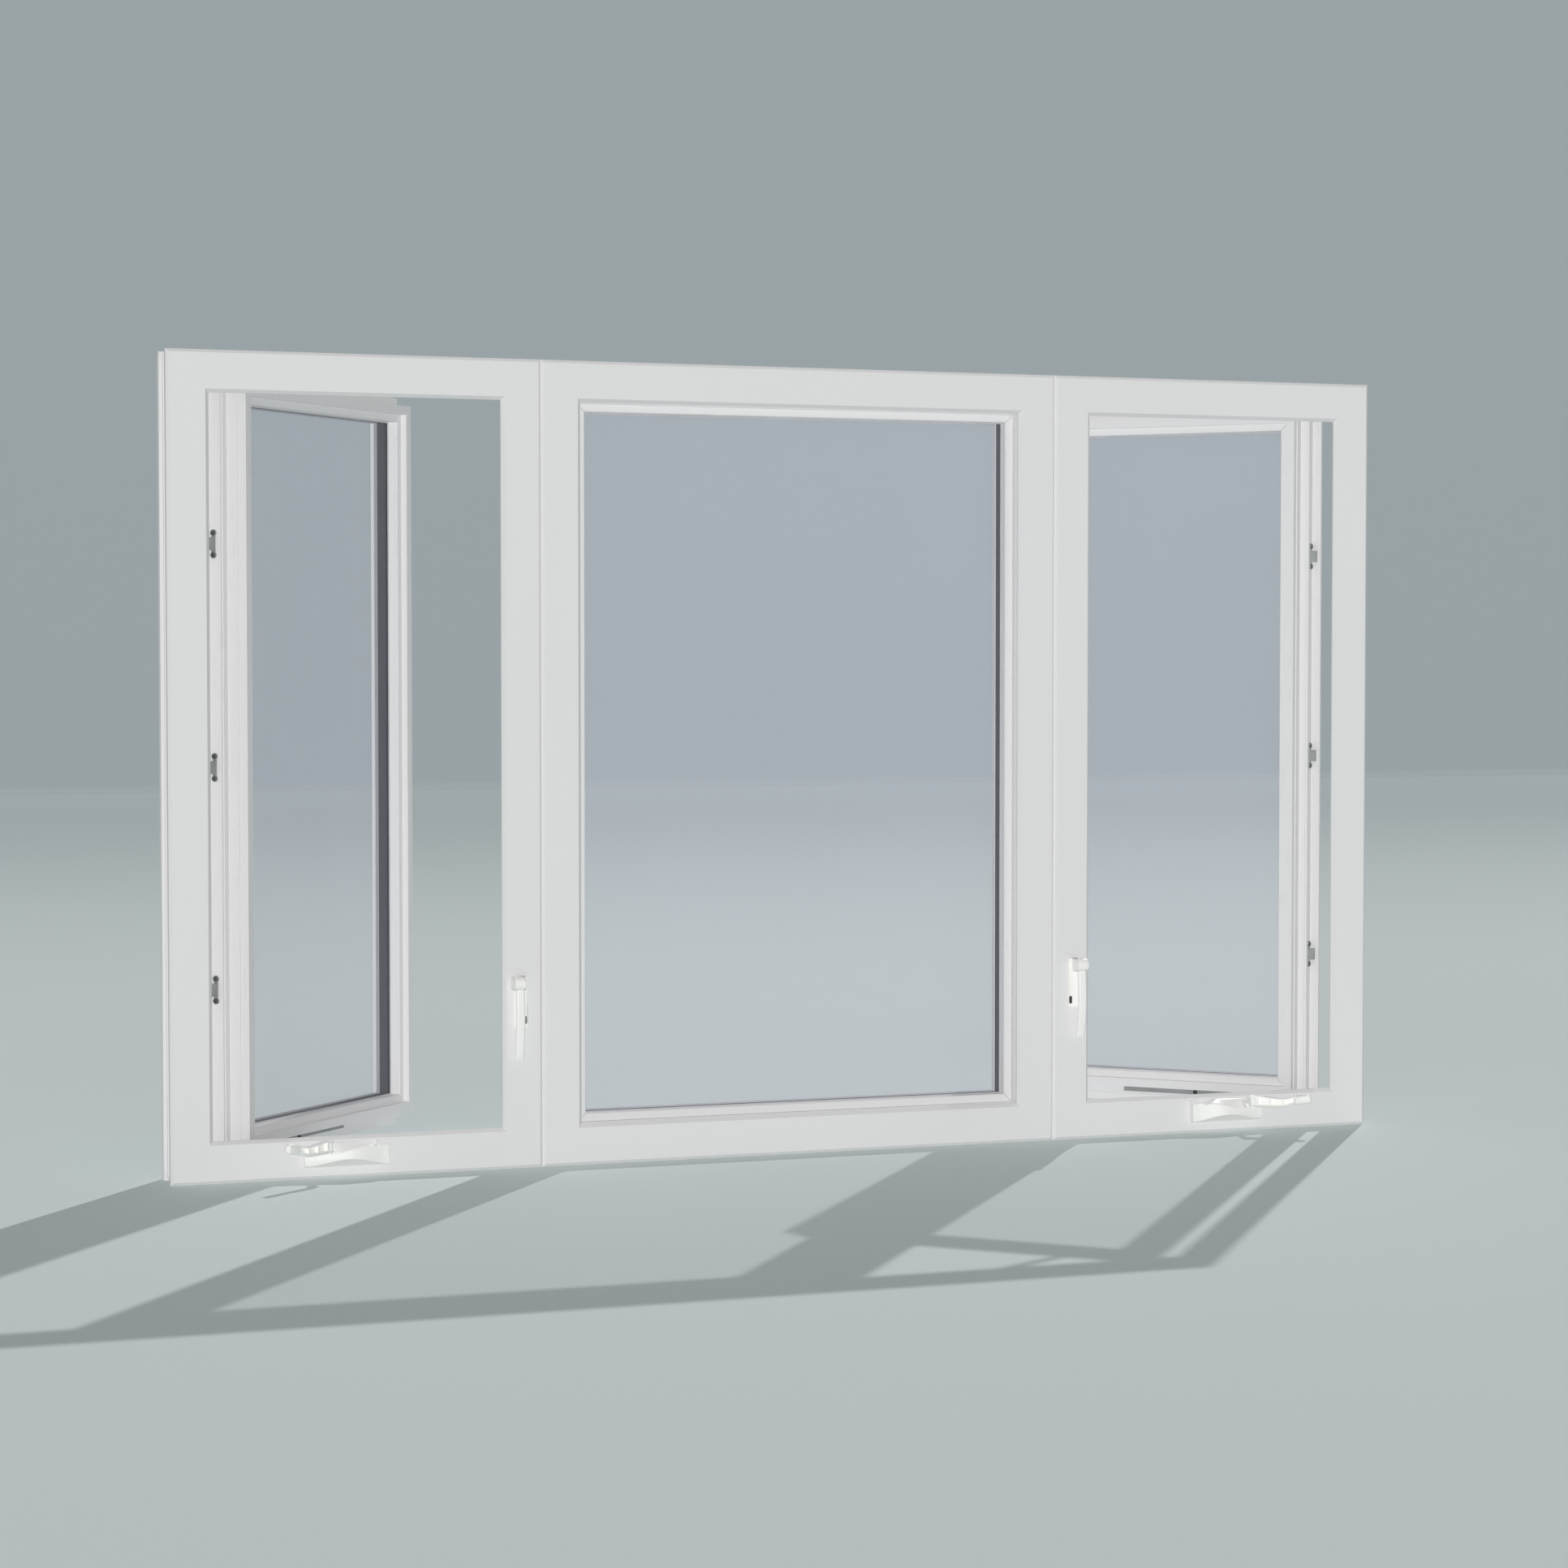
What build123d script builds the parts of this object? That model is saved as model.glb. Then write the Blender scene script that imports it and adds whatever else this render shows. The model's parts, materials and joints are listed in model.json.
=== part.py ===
from build123d import *
from math import atan2, cos, degrees, radians, sin
import os

# Triple casement window: two crank-open casements beside a fixed middle light, in white vinyl.
# Seen from the room, X runs to the right, Y runs out through the wall and Z is up.
# The origin is under the sill's rear flange, at mid-width. Lengths are millimetres.

# Overall sizes
window_width = 1800.0
window_height = 1112.0
side_unit_width = 514.0
frame_depth = 70.0

# Frame profile: u runs inwards from the unit's outer edge, v runs outdoors from the room face
edge_chamfer = 4.0
face_width = 52.0
lip_chamfer_width = 4.5
lip_chamfer_depth = 5.0
lip_thickness = 8.0
frame_wall = 12.0
front_flange = 15.0
rear_flange = 13.0
side_recess = 8.0
kerf_width = 1.7
kerf_depth = 5.0
kerf_inset = 4.0

# Seal on the back of the lip
seal_width = 7.0
seal_thickness = 7.0
seal_crown = 3.0
seal_inset = 3.0

# Sash profile: p runs inwards from the fin's outer edge, q runs outdoors from the rim face
fin_clearance = 5.0
fin_reach = 14.0
fin_depth = 48.0
fin_groove = 2.5
flange_reach = 14.0
flange_rebate_width = 3.0
flange_rebate_depth = 2.0
rim_width = 12.5
rim_depth = 30.0
rim_step_width = 1.5
rim_step_depth = 13.0
sash_depth = 54.0

# Glazing
bead_setback = 9.0
bead_width = 11.0
bead_depth = 16.0
bead_edge = 1.0
bead_mitre_gap = 0.4
pane_thickness = 4.0
pane_gap = 14.0
pane_edge_clearance = 2.0

# Hinges: the shoe has slid along its track, and the sash has turned about the shoe's pivot
open_angle = 45.0
shoe_slide = 37.7
pivot_depth = 40.0
arm_to_shoe = 80.0
hinge_arm_width = 14.0
hinge_arm_thickness = 2.2
hinge_pin_radius = 5.0
track_width = 16.0
track_height = 2.5
track_wall = 1.2
track_end = 14.0
shoe_length = 24.0
shoe_clearance = 0.4
arm_lift = 7.0

# Operator in the sill pocket, and its guide on the sash's bottom rail
operator_offset = 245.0
operator_length = 96.0
operator_width = 24.0
operator_arm_width = 14.0
operator_arm_thickness = 3.0
operator_reach = 186.0
guide_length = 230.0
guide_height = 8.0
guide_depth = 6.0
guide_slot = 3.0
guide_gap = 1.0

# Snubbers on the hinge stile
snubber_spacing = 300.0
snubber_screws = 30.0
snubber_lug = 9.0
snubber_bar = 6.0
snubber_plate = 1.5
snubber_hook_length = 17.0
snubber_hook_height = 9.0
snubber_from_fin = 5.0

# Operator cover and folding crank on the sill's room face
cover_offset = 178.0
cover_base = 15.0
cover_sections = [  # Distance from the outer end, then crease, shoulder and top as (standoff, height)
    (0, (9, 19), (11, 27), (6, 44)),
    (29, (17, 23), (18, 31), (8, 49)),
    (67, (25, 28), (23, 42), (9, 50)),
    (84, (22, 25), (20, 45), (9, 50)),
    (116, (15, 18), (14, 43), (9, 48)),
]
nest_height = 43.5
nest_slope = 28.0
nest_width = 3.0
nest_from_end = 17.0
spindle_offset = 207.0
spindle_height = 42.0
spindle_radius = 5.0
spindle_clearance = 0.5
neck_length = 14.0
neck_bite = 4.0
pin_height = 48.0
pin_standoff = 34.0
pin_radius = 2.0
pin_clearance = 0.3
knuckle_height = 10.0
knuckle_width = 8.0
handle_angle = 36.5
handle_length = 76.0
handle_root_height = 19.0
handle_tip_height = 12.0
handle_thickness = 8.0
handle_back = 2.0
handle_wall = 2.0
handle_sole = 5.0
handle_bevel = 4.0
handle_bays = 3
handle_fork = 4.5
handle_root_slant = 3.0
fork_clearance = 0.4
knob_length = 22.0
knob_height = 14.0
knob_thickness = 11.0
knob_corner = 6.5

# Lock on the jamb beside the middle light
lock_offset = 37.0
lock_top = 266.0
lock_plate_width = 20.0
lock_plate_height = 72.0
lock_plate_thickness = 3.0
lock_plate_overhang = 5.0
lock_slot_width = 4.0
lock_slot_height = 11.0
ear_thickness = 2.5
ear_edge = 1.8
lever_length = 104.0
lever_width = 13.0
lever_thickness = 7.0
lever_edge = 2.0
lever_standoff = 13.5
lever_bow = 5.0
lever_tuck = 3.0
hub_radius = 9.5

os.makedirs("parts", exist_ok=True)


def save(node, label):
    """Labels a finished piece and writes it under that name."""
    node.part.label = label
    export_step(node.part, f"parts/{label}.step")


def ring_sides(face, width, height):
    """Places the four bars of a rectangular ring on a plane that faces the room."""
    outdoors = face.z_dir * -1

    def side(x, y, inward, length):
        along = inward.cross(outdoors)
        return Plane(face.from_local_coords((x, y, 0)), x_dir=along, z_dir=outdoors), length

    return {
        "bottom": side(0, -height / 2, face.y_dir, width),
        "top": side(0, height / 2, face.y_dir * -1, width),
        "left": side(-width / 2, 0, face.x_dir, height),
        "right": side(width / 2, 0, face.x_dir * -1, height),
    }


def mitred_bar(profile, place, length, gap=0.0):
    """Extrudes a profile of (inward, outdoors) points along one side of a ring and mitres its ends."""
    reach = max(inward for inward, outdoors in profile)
    depth = max(outdoors for inward, outdoors in profile)
    half = length / 2 - gap
    section = Plane(place.origin, x_dir=place.y_dir, z_dir=place.x_dir)
    with BuildPart() as bar:
        with BuildSketch(section):
            with BuildLine():
                Polyline(*profile, close=True)
            make_face()
        extrude(amount=half, both=True)
        with BuildSketch(place):
            with BuildLine():
                Polyline((-half, 0), (half, 0), (half - reach, reach), (reach - half, reach), close=True)
            make_face()
        extrude(amount=depth, mode=Mode.INTERSECT)
    return bar.part


def room_plane(x, y, z, turn=0.0):
    """A plane that faces the room, turned about the vertical by an angle in degrees."""
    along = (cos(radians(turn)), sin(radians(turn)), 0)
    to_room = (sin(radians(turn)), -cos(radians(turn)), 0)
    return Plane((x, y, z), x_dir=along, z_dir=to_room)


def bearing(line):
    """The angle of a level line from the X axis, in degrees."""
    return degrees(atan2(line.Y, line.X))


def mirrored(part):
    """The same piece on the other side of the window."""
    with BuildPart() as twin:
        mirror(part, about=Plane.YZ)
    return twin


# Places worked out from the sizes
room_face = rear_flange / 2 - frame_depth
mid_height = window_height / 2
lip_reach = face_width + lip_chamfer_width
seam_x = window_width / 2 - side_unit_width
side_unit_x = (window_width - side_unit_width) / 2
sash_inset = frame_wall + fin_clearance
sash_width = side_unit_width - 2 * sash_inset
sash_height = window_height - 2 * sash_inset
middle_width = window_width - 2 * side_unit_width
glass_depth = bead_setback + bead_depth
glazing_thickness = 2 * pane_thickness + pane_gap
rim_outer = fin_reach + flange_reach
rim_inner = rim_outer + rim_width
sightline = rim_inner + bead_width
closed_rim = room_face + lip_thickness + seal_thickness

# Frames
rear_front = frame_depth - rear_flange
kerf_start = kerf_inset + kerf_width
frame_profile = [
    (edge_chamfer, 0),
    (face_width, 0),
    (lip_reach, lip_chamfer_depth),
    (lip_reach, lip_thickness),
    (frame_wall, lip_thickness),
    (frame_wall, frame_depth),
    (0, frame_depth),
    (0, rear_front),
    (kerf_inset, rear_front),
    (kerf_inset, rear_front + kerf_depth),
    (kerf_start, rear_front + kerf_depth),
    (kerf_start, rear_front),
    (side_recess, rear_front),
    (side_recess, front_flange),
    (0, front_flange),
    (0, edge_chamfer),
]
side_names = {"top": "head", "bottom": "sill"}
units = {
    "left": (-side_unit_x, side_unit_width, {"left": "outer_jamb", "right": "inner_jamb"}),
    "centre": (0, middle_width, {"left": "left_jamb", "right": "right_jamb"}),
    "right": (side_unit_x, side_unit_width, {"left": "inner_jamb", "right": "outer_jamb"}),
}
for unit, (unit_x, unit_width, jamb_names) in units.items():
    unit_face = room_plane(unit_x, room_face, mid_height)
    for side, (place, length) in ring_sides(unit_face, unit_width, window_height).items():
        with BuildPart() as frame_member:
            add(mitred_bar(frame_profile, place, length))
        save(frame_member, f"{unit}_frame_{(side_names | jamb_names)[side]}")

# Seals on the back of each lip, with a rounded bulb towards the sash
seal_outer = lip_reach - seal_inset - seal_width
seal_profile = [
    (0, 0),
    (seal_width, 0),
    (seal_width, seal_thickness / 2),
    ((seal_width + seal_crown) / 2, seal_thickness),
    ((seal_width - seal_crown) / 2, seal_thickness),
    (0, seal_thickness / 2),
]
for unit, (unit_x, unit_width, jamb_names) in units.items():
    seal_face = room_plane(unit_x, room_face + lip_thickness, mid_height)
    seal_size = (unit_width - 2 * seal_outer, window_height - 2 * seal_outer)
    with BuildPart() as frame_seal:
        for place, length in ring_sides(seal_face, *seal_size).values():
            add(mitred_bar(seal_profile, place, length))
    save(frame_seal, f"{unit}_frame_seal")

# Sashes with their glass
stop_depth = glass_depth + glazing_thickness
rebate_end = fin_reach + flange_rebate_width
rebate_depth = rim_depth + flange_rebate_depth
rim_foot = rim_outer - rim_step_width
sash_profile = [
    (rim_outer, 0),
    (rim_inner, 0),
    (rim_inner, stop_depth),
    (sightline, stop_depth),
    (sightline, sash_depth),
    (0, sash_depth),
    (0, fin_depth),
    (fin_reach - fin_groove, fin_depth),
    (fin_reach - fin_groove, fin_depth + fin_groove),
    (fin_reach, fin_depth + fin_groove),
    (fin_reach, rebate_depth),
    (rebate_end, rebate_depth),
    (rebate_end, rim_depth),
    (rim_foot, rim_depth),
    (rim_foot, rim_step_depth),
    (rim_outer, rim_step_depth),
]
bead_profile = [
    (0, 0),
    (bead_width - bead_edge, 0),
    (bead_width, bead_edge),
    (bead_width, bead_depth),
    (0, bead_depth),
]
spacer_width = bead_width - pane_edge_clearance
spacer_profile = [(0, 0), (spacer_width, 0), (spacer_width, pane_gap), (0, pane_gap)]


def build_sash(name, rim_face, width):
    """Builds one sash, its beads, its two panes and its spacer on the plane of its rim face."""

    def sunk(depth):
        return rim_face.offset(-depth)

    with BuildPart() as sash:
        for place, length in ring_sides(rim_face, width, sash_height).values():
            add(mitred_bar(sash_profile, place, length))
    save(sash, f"{name}_sash")

    bead_size = (width - 2 * rim_inner, sash_height - 2 * rim_inner)
    with BuildPart() as beads:
        for place, length in ring_sides(sunk(bead_setback), *bead_size).values():
            add(mitred_bar(bead_profile, place, length, bead_mitre_gap))
    save(beads, f"{name}_glazing_beads")

    pane_margin = 2 * (rim_inner + pane_edge_clearance)
    with BuildPart() as glass:
        for depth in (glass_depth, glass_depth + pane_thickness + pane_gap):
            with BuildSketch(sunk(depth + pane_thickness)):
                Rectangle(width - pane_margin, sash_height - pane_margin)
            extrude(amount=pane_thickness)
    save(glass, f"{name}_glass")

    spacer_size = (width - pane_margin, sash_height - pane_margin)
    with BuildPart() as spacer:
        for place, length in ring_sides(sunk(glass_depth + pane_thickness), *spacer_size).values():
            add(mitred_bar(spacer_profile, place, length))
    save(spacer, f"{name}_spacer")


# The open sash hangs from its shoe's pivot, which stays on the track's line
track_y = closed_rim + pivot_depth
closed_pivot_x = -window_width / 2 + sash_inset + rim_outer
pivot_x = closed_pivot_x + shoe_slide
along_sash = Vector(cos(radians(open_angle)), sin(radians(open_angle)), 0)
through_sash = Vector(-sin(radians(open_angle)), cos(radians(open_angle)), 0)


def on_sash(inward, outdoors, height):
    """A point of the open left sash, from its hinge edge, its rim face and the sill's bottom."""
    pivot = Vector(pivot_x, track_y, height)
    return pivot + along_sash * (inward - rim_outer) + through_sash * (outdoors - pivot_depth)


left_rim = on_sash(sash_width / 2, 0, mid_height)
right_rim = Vector(-left_rim.X, left_rim.Y, left_rim.Z)
build_sash("left", room_plane(left_rim.X, left_rim.Y, left_rim.Z, open_angle), sash_width)
build_sash("right", room_plane(right_rim.X, right_rim.Y, right_rim.Z, -open_angle), sash_width)
build_sash("centre", room_plane(0, closed_rim, mid_height), middle_width - 2 * sash_inset)

# Hinge tracks at the sill, repeated at the head
arm_rise = arm_to_shoe * sin(radians(open_angle))
slack = shoe_slide - arm_to_shoe * (1 - cos(radians(open_angle)))
support_length = (arm_rise**2 + slack**2) / (2 * slack)
anchor_x = closed_pivot_x + arm_to_shoe + support_length
track_start = closed_pivot_x - track_end
track_length = anchor_x + track_end - track_start
pocket_floor = Plane.XY.offset(frame_wall)
track_floor = Plane.XY.offset(frame_wall + track_wall)
arm_plane = Plane.XY.offset(frame_wall + track_height + arm_lift)
arm_top = Plane.XY.offset(frame_wall + track_height + arm_lift + hinge_arm_thickness)
upside_down = Plane.XY.offset(mid_height)

with BuildPart() as left_hinge_tracks:
    with BuildSketch(pocket_floor):
        with Locations((track_start + track_length / 2, track_y)):
            Rectangle(track_length, track_width)
    extrude(amount=track_height)
    with BuildSketch(track_floor):
        with Locations((track_start + track_length / 2, track_y)):
            Rectangle(track_length - 2 * track_wall, track_width - 2 * track_wall)
    extrude(amount=track_height - track_wall, mode=Mode.SUBTRACT)
    mirror(about=upside_down)
save(left_hinge_tracks, "left_hinge_tracks")
save(mirrored(left_hinge_tracks.part), "right_hinge_tracks")

# Support arms from the track's anchor to the sash, and the shoes that slide in the tracks
channel_floor = sash_inset + fin_reach
arm_end = on_sash(rim_outer + arm_to_shoe, pivot_depth, 0)
arm_middle = ((anchor_x + arm_end.X) / 2, (track_y + arm_end.Y) / 2)
arm_slope = Vector(arm_end.X - anchor_x, arm_end.Y - track_y, 0)
shoe_width = track_width - 2 * (track_wall + shoe_clearance)
with BuildPart() as left_hinge_arms:
    with BuildSketch(arm_plane):
        with Locations(Location((*arm_middle, 0), (0, 0, bearing(arm_slope)))):
            SlotCenterToCenter(support_length, hinge_arm_width)
    extrude(amount=hinge_arm_thickness)
    with BuildSketch(track_floor):
        with Locations((anchor_x, track_y)):
            Circle(hinge_pin_radius)
    extrude(amount=track_height - track_wall + arm_lift)
    with BuildSketch(arm_top):
        with Locations((arm_end.X, arm_end.Y)):
            Circle(hinge_pin_radius)
    extrude(amount=channel_floor - frame_wall - track_height - arm_lift - hinge_arm_thickness)
    with BuildSketch(track_floor):
        with Locations((pivot_x, track_y)):
            Rectangle(shoe_length, shoe_width)
    extrude(amount=track_height)
    with BuildSketch(track_floor):
        with Locations((pivot_x, track_y)):
            Circle(hinge_pin_radius)
    extrude(amount=channel_floor - frame_wall - track_wall)
    mirror(about=upside_down)
save(left_hinge_arms, "left_hinge_arms")
save(mirrored(left_hinge_arms.part), "right_hinge_arms")

# Guide for the operator's arm, under the rim on the sash's bottom rail
guide_floor = sash_inset + rebate_end + guide_gap
guide_centre = on_sash(operator_reach, rim_depth - guide_depth / 2, guide_floor)
with BuildPart() as left_sash_guide:
    with BuildSketch(Plane(guide_centre, x_dir=along_sash, z_dir=(0, 0, 1))):
        Rectangle(guide_length, guide_depth)
    extrude(amount=guide_height)
    with BuildSketch(Plane(guide_centre, x_dir=along_sash, z_dir=(0, 0, 1))):
        Rectangle(guide_length, guide_slot)
    extrude(amount=guide_height - track_wall, mode=Mode.SUBTRACT)
save(left_sash_guide, "left_sash_guide")
save(mirrored(left_sash_guide.part), "right_sash_guide")

# Operator: a gear case in the sill pocket with its arm reaching the guide
operator_x = -window_width / 2 + operator_offset
operator_y = room_face + lip_thickness + operator_width / 2 + seal_thickness
stud = on_sash(operator_reach, rim_depth - guide_depth / 2, 0)
reach_line = Vector(stud.X - operator_x, stud.Y - operator_y, 0)
operator_middle = ((stud.X + operator_x) / 2, (stud.Y + operator_y) / 2)
stud_top = guide_floor + guide_height / 2
operator_arm_floor = channel_floor - shoe_clearance - operator_arm_thickness
with BuildPart() as left_operator:
    with BuildSketch(pocket_floor):
        with Locations((operator_x, operator_y)):
            RectangleRounded(operator_length, operator_width, operator_width / 4)
    extrude(amount=operator_arm_floor - frame_wall)
    with BuildSketch(Plane.XY.offset(operator_arm_floor)):
        with Locations(Location((*operator_middle, 0), (0, 0, bearing(reach_line)))):
            SlotCenterToCenter(reach_line.length, operator_arm_width)
    extrude(amount=operator_arm_thickness)
    with BuildSketch(Plane.XY.offset(operator_arm_floor)):
        with Locations((stud.X, stud.Y)):
            Circle(guide_slot / 2 - shoe_clearance)
    extrude(amount=stud_top - operator_arm_floor)
save(left_operator, "left_operator")
save(mirrored(left_operator.part), "right_operator")

# Snubbers in the channel of each hinge stile: two screw lugs, and a hook that catches on the frame
with BuildPart() as left_snubbers:
    for height in (mid_height - snubber_spacing, mid_height, mid_height + snubber_spacing):
        channel = on_sash(fin_reach, fin_depth - snubber_from_fin, height)
        seat = Plane(channel, x_dir=(0, 0, 1), z_dir=along_sash * -1)
        with BuildSketch(seat):
            Rectangle(snubber_screws, snubber_bar)
            with Locations((-snubber_screws / 2, 0), (snubber_screws / 2, 0)):
                Circle(snubber_lug / 2)
        extrude(amount=snubber_plate)
        with BuildSketch(seat):
            Rectangle(snubber_hook_length, snubber_bar)
        extrude(amount=snubber_hook_height)
save(left_snubbers, "left_snubbers")
save(mirrored(left_snubbers.part), "right_snubbers")

# Operator cover: a lofted bulge with a crease, and a nest near its inner end for the folded knob
cover_x = -window_width / 2 + cover_offset
cover_end = cover_x + max(section[0] for section in cover_sections)
cover_top = max(top[1] for station, crease, shoulder, top in cover_sections)
nest_wall = cover_end - nest_from_end
spindle_x = -window_width / 2 + spindle_offset
sill_face = Plane((0, room_face, 0), x_dir=(1, 0, 0), z_dir=(0, -1, 0))
with BuildPart() as left_crank_cover:
    for station, crease, shoulder, top in cover_sections:
        with BuildSketch(Plane((cover_x + station, room_face, 0), x_dir=(0, -1, 0), z_dir=(-1, 0, 0))):
            with BuildLine():
                Polyline((0, cover_base), crease, shoulder, top, (0, top[1]), close=True)
            make_face()
    loft()
    with BuildSketch(sill_face):
        with BuildLine():
            Polyline(
                (nest_wall, cover_top + nest_width),
                (nest_wall, nest_height),
                (nest_wall - nest_width, nest_height),
                (nest_wall - nest_width - nest_slope, cover_top + nest_width),
                close=True,
            )
        make_face()
    extrude(amount=pin_standoff, mode=Mode.SUBTRACT)
    with BuildSketch(sill_face):
        with Locations((spindle_x, spindle_height)):
            Circle(spindle_radius + spindle_clearance)
    extrude(amount=pin_standoff, mode=Mode.SUBTRACT)
save(left_crank_cover, "left_crank_cover")
save(mirrored(left_crank_cover.part), "right_crank_cover")

# Crank knuckle: the spindle that turns in the cover, and the eye that the handle folds on
pin_y = room_face - pin_standoff
eye_radius = knuckle_width / 2
with BuildPart() as left_crank_knuckle:
    with BuildSketch(sill_face):
        with Locations((spindle_x, spindle_height)):
            Circle(spindle_radius)
    extrude(amount=pin_standoff - neck_length + neck_bite)
    with BuildSketch(Plane.XY.offset(pin_height - knuckle_height / 2)):
        with Locations((spindle_x, pin_y)):
            Circle(eye_radius)
        with Locations((spindle_x, pin_y + neck_length / 2)):
            Rectangle(knuckle_width, neck_length)
    extrude(amount=knuckle_height)
    with Locations((spindle_x, pin_y, pin_height)):
        Cylinder(pin_radius + pin_clearance, 2 * knuckle_height, mode=Mode.SUBTRACT)
save(left_crank_knuckle, "left_crank_knuckle")
save(mirrored(left_crank_knuckle.part), "right_crank_knuckle")

# Crank handle, unfolded: a tapered tray with ribs, a fork for the knuckle and a rounded knob.
# Its own plane has X along the handle, Y towards its hollow side and Z along the folding pin.
handle_line = (-cos(radians(handle_angle)), -sin(radians(handle_angle)), 0)
handle_plane = Plane((spindle_x, pin_y, pin_height), x_dir=handle_line, z_dir=(0, 0, 1))
handle_side = Plane(handle_plane.origin, x_dir=handle_line, z_dir=handle_plane.y_dir * -1)
half_thick = handle_thickness / 2
root_half = handle_root_height / 2
root_end = -eye_radius - handle_wall
root_top = root_end + handle_root_slant
tray_length = handle_length - knob_length / 2
top_slope = (handle_root_height - handle_tip_height) / tray_length
bay_start = handle_fork + 2 * handle_wall
bay_length = (tray_length - bay_start) / handle_bays
fork_gap = knuckle_height + 2 * fork_clearance
handle_section = Plane(
    handle_plane.from_local_coords((root_end, 0, 0)), x_dir=handle_plane.y_dir, z_dir=handle_line
)


def under_rim(along):
    """The height of the tray's top wall from below, at a distance along the handle."""
    return root_half - handle_wall - top_slope * along


with BuildPart() as left_crank_handle:
    with BuildSketch(handle_side):
        with BuildLine():
            Polyline(
                (root_end, -root_half),
                (handle_length, -root_half),
                (handle_length, root_half - top_slope * handle_length),
                (root_top, root_half - top_slope * root_top),
                close=True,
            )
        make_face()
    extrude(amount=half_thick, both=True)
    with BuildSketch(handle_side.offset(-handle_back)):
        for bay in range(handle_bays):
            bay_from = bay_start + bay * bay_length
            bay_to = bay_from + bay_length - handle_wall
            with BuildLine():
                Polyline(
                    (bay_from, handle_sole - root_half),
                    (bay_to, handle_sole - root_half),
                    (bay_to, under_rim(bay_to)),
                    (bay_from, under_rim(bay_from)),
                    close=True,
                )
            make_face()
    extrude(amount=-handle_thickness, mode=Mode.SUBTRACT)
    with BuildSketch(handle_section):
        with BuildLine():
            Polyline(
                (half_thick, -root_half),
                (half_thick, handle_bevel - root_half),
                (half_thick - handle_bevel, -root_half),
                close=True,
            )
        make_face()
    extrude(amount=handle_length - root_end, mode=Mode.SUBTRACT)
    with BuildPart(mode=Mode.PRIVATE) as knob:
        with BuildSketch(handle_side):
            with Locations((handle_length, knob_height / 2 - root_half)):
                RectangleRounded(knob_length, knob_height, knob_corner)
        extrude(amount=knob_thickness / 2, both=True)
    add(knob.part)
    with BuildSketch(handle_plane):
        with Locations((root_end / 2 + handle_fork / 2, 0)):
            Rectangle(handle_fork - root_end, 2 * handle_thickness)
    extrude(amount=fork_gap / 2, both=True, mode=Mode.SUBTRACT)
    with BuildSketch(handle_plane):
        Circle(pin_radius)
    extrude(amount=root_half, both=True)
save(left_crank_handle, "left_crank_handle")
save(mirrored(left_crank_handle.part), "right_crank_handle")

# Lock base: a plate on the jamb with a slot for the tongue, and the cheeks that hold the lever's pin
lock_x = -seam_x - lock_offset
lock_pivot_z = lock_top - hub_radius
plate_left = lock_x - lock_plate_overhang
plate_middle = (plate_left + lock_plate_width / 2, lock_top - lock_plate_height / 2)
slot_middle = (
    plate_left + lock_plate_width - lock_slot_width,
    lock_top - lock_plate_height + lock_slot_height,
)
pivot_middle = (lock_x, room_face - lever_standoff, lock_pivot_z)
lever_plane = Plane(pivot_middle, x_dir=(0, -1, 0), z_dir=(-1, 0, 0))
cheek_inside = lever_width / 2 + fork_clearance
with BuildPart() as left_lock_base:
    with BuildSketch(sill_face):
        with Locations(plate_middle):
            RectangleRounded(lock_plate_width, lock_plate_height, lock_slot_width)
        with Locations(Location((*slot_middle, 0), (0, 0, 90))):
            SlotOverall(lock_slot_height, lock_slot_width, mode=Mode.SUBTRACT)
    extrude(amount=lock_plate_thickness)
    with BuildPart(mode=Mode.PRIVATE) as cheeks:
        with BuildSketch(lever_plane):
            Circle(hub_radius)
            with Locations((-lever_standoff / 2, 0)):
                Rectangle(lever_standoff, 2 * hub_radius)
        extrude(amount=cheek_inside + ear_thickness, both=True)
        chamfer(cheeks.edges().filter_by(GeomType.CIRCLE), ear_edge)
        with BuildSketch(lever_plane):
            Rectangle(4 * lever_standoff, 4 * hub_radius)
        extrude(amount=cheek_inside, both=True, mode=Mode.SUBTRACT)
    add(cheeks.part)
    with BuildSketch(lever_plane):
        Circle(pin_radius)
    extrude(amount=cheek_inside + ear_thickness / 2, both=True)
save(left_lock_base, "left_lock_base")
save(mirrored(left_lock_base.part), "right_lock_base")

# Lock lever: a round hub between the cheeks, and a bowed arm that hangs down in front of the jamb
with BuildPart() as left_lock_lever:
    with BuildLine(lever_plane) as lever_path:
        ThreePointArc((0, 0), (lever_bow, -lever_length / 2), (-lever_tuck, -lever_length))
    arm_start = Plane(lever_path.line @ 0, x_dir=(1, 0, 0), z_dir=lever_path.line % 0)
    with BuildSketch(arm_start) as arm_section:
        Rectangle(lever_width, lever_thickness)
        chamfer(arm_section.vertices(), lever_edge)
    sweep(path=lever_path.line)
    with BuildSketch(lever_plane):
        Circle(hub_radius)
    extrude(amount=lever_width / 2, both=True)
    with BuildSketch(lever_plane):
        Circle(pin_radius + pin_clearance)
    extrude(amount=lever_width, both=True, mode=Mode.SUBTRACT)
save(left_lock_lever, "left_lock_lever")
save(mirrored(left_lock_lever.part), "right_lock_lever")
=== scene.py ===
"""Finishes, fittings and studio for a triple casement window, laid out as a Blender add-on."""

import json
import math

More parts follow.
